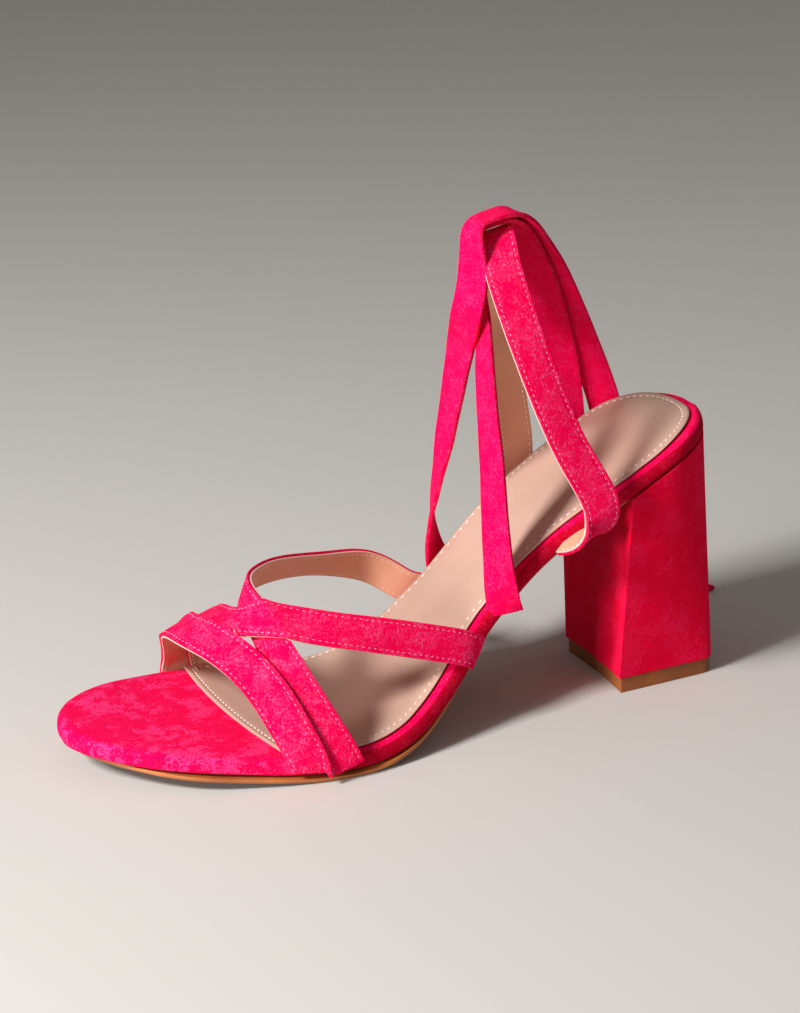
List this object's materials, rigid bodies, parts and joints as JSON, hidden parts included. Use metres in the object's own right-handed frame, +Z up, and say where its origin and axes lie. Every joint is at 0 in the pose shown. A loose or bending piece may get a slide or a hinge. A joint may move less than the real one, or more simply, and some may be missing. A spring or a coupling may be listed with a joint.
{
  "type": "lace up heeled sandal",
  "caption": "Open suede sandal on a tall block heel, with crossed straps over the toes, a sling round the ankle and two long ties that lie undone.",
  "frame": {"origin": "middle of the heel's foot on the floor", "axes": "+X towards the back of the heel, so the toe points along -X; +Y towards the inner (medial) side of the foot; +Z up"},
  "size_m": [0.2537, 0.1189, 0.1609],
  "materials": {
    "suede": "napped suede, hot pink red",
    "lining": "soft matte lining, nude",
    "sole_leather": "satin, burnished tan brown",
    "rubber": "matte, tan"
  },
  "bodies": {
    "root": {"footbed": "suede", "sock": "lining", "outsole": "sole_leather", "heel": "suede", "top_lift": "rubber", "upper": "suede", "heel_sling": "suede", "tie_crossing": "suede", "tie_end_lateral": "suede", "tie_end_medial": "suede"}
  },
  "joints": []
}
